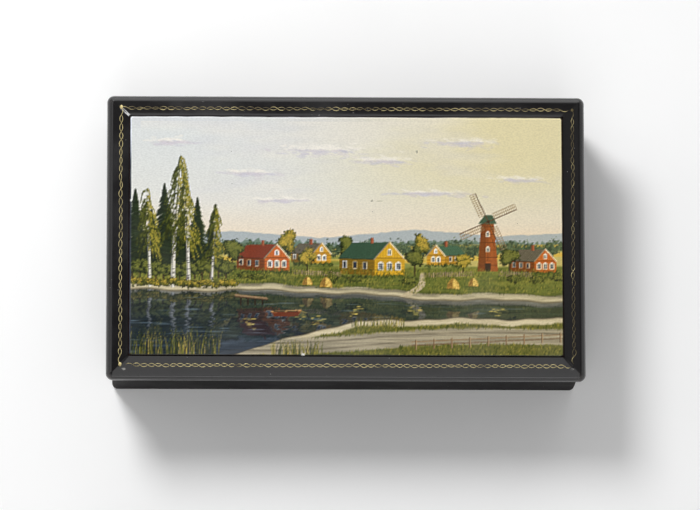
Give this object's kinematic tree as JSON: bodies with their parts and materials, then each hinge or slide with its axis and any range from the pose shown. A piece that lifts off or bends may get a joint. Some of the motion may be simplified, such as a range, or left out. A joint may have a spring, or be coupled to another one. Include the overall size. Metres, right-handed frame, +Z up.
{
  "type": "lacquer box with hinged lid",
  "caption": "Rectangular lacquered papier-mache box with a hinged lid: moulded mitred frame, gold braid border and a raised painted landscape panel.",
  "frame": {"origin": "middle of the foot, on the surface that the box stands on", "axes": "+X along the length to the right, +Y from the front to the hinge at the back, +Z up"},
  "size_m": [0.166, 0.1, 0.0377],
  "materials": {
    "black_lacquer": "gloss",
    "red_lacquer": "gloss",
    "painted_panel": "gloss",
    "hinge_brass": "satin",
    "pin_steel": "satin"
  },
  "bodies": {
    "box": {"body_walls": "black_lacquer", "bottom_board": "red_lacquer", "liner_front": "red_lacquer", "liner_back": "red_lacquer", "liner_left": "red_lacquer", "liner_right": "red_lacquer", "hinge_body_leaf": "hinge_brass", "hinge_pin": "pin_steel", "hinge_body_nails": "pin_steel"},
    "lid": {"frame_front": "black_lacquer", "frame_back": "black_lacquer", "frame_left": "black_lacquer", "frame_right": "black_lacquer", "lid_board": "red_lacquer", "picture_panel": "painted_panel", "hinge_lid_leaf": "hinge_brass", "hinge_lid_nails": "pin_steel"}
  },
  "joints": [
    {"name": "lid_hinge", "type": "hinge", "parent": "box", "child": "lid", "pos_m": [0, 0.0483, 0.03105], "axis": [-1, 0, 0], "range_deg": [0, 100]}
  ]
}
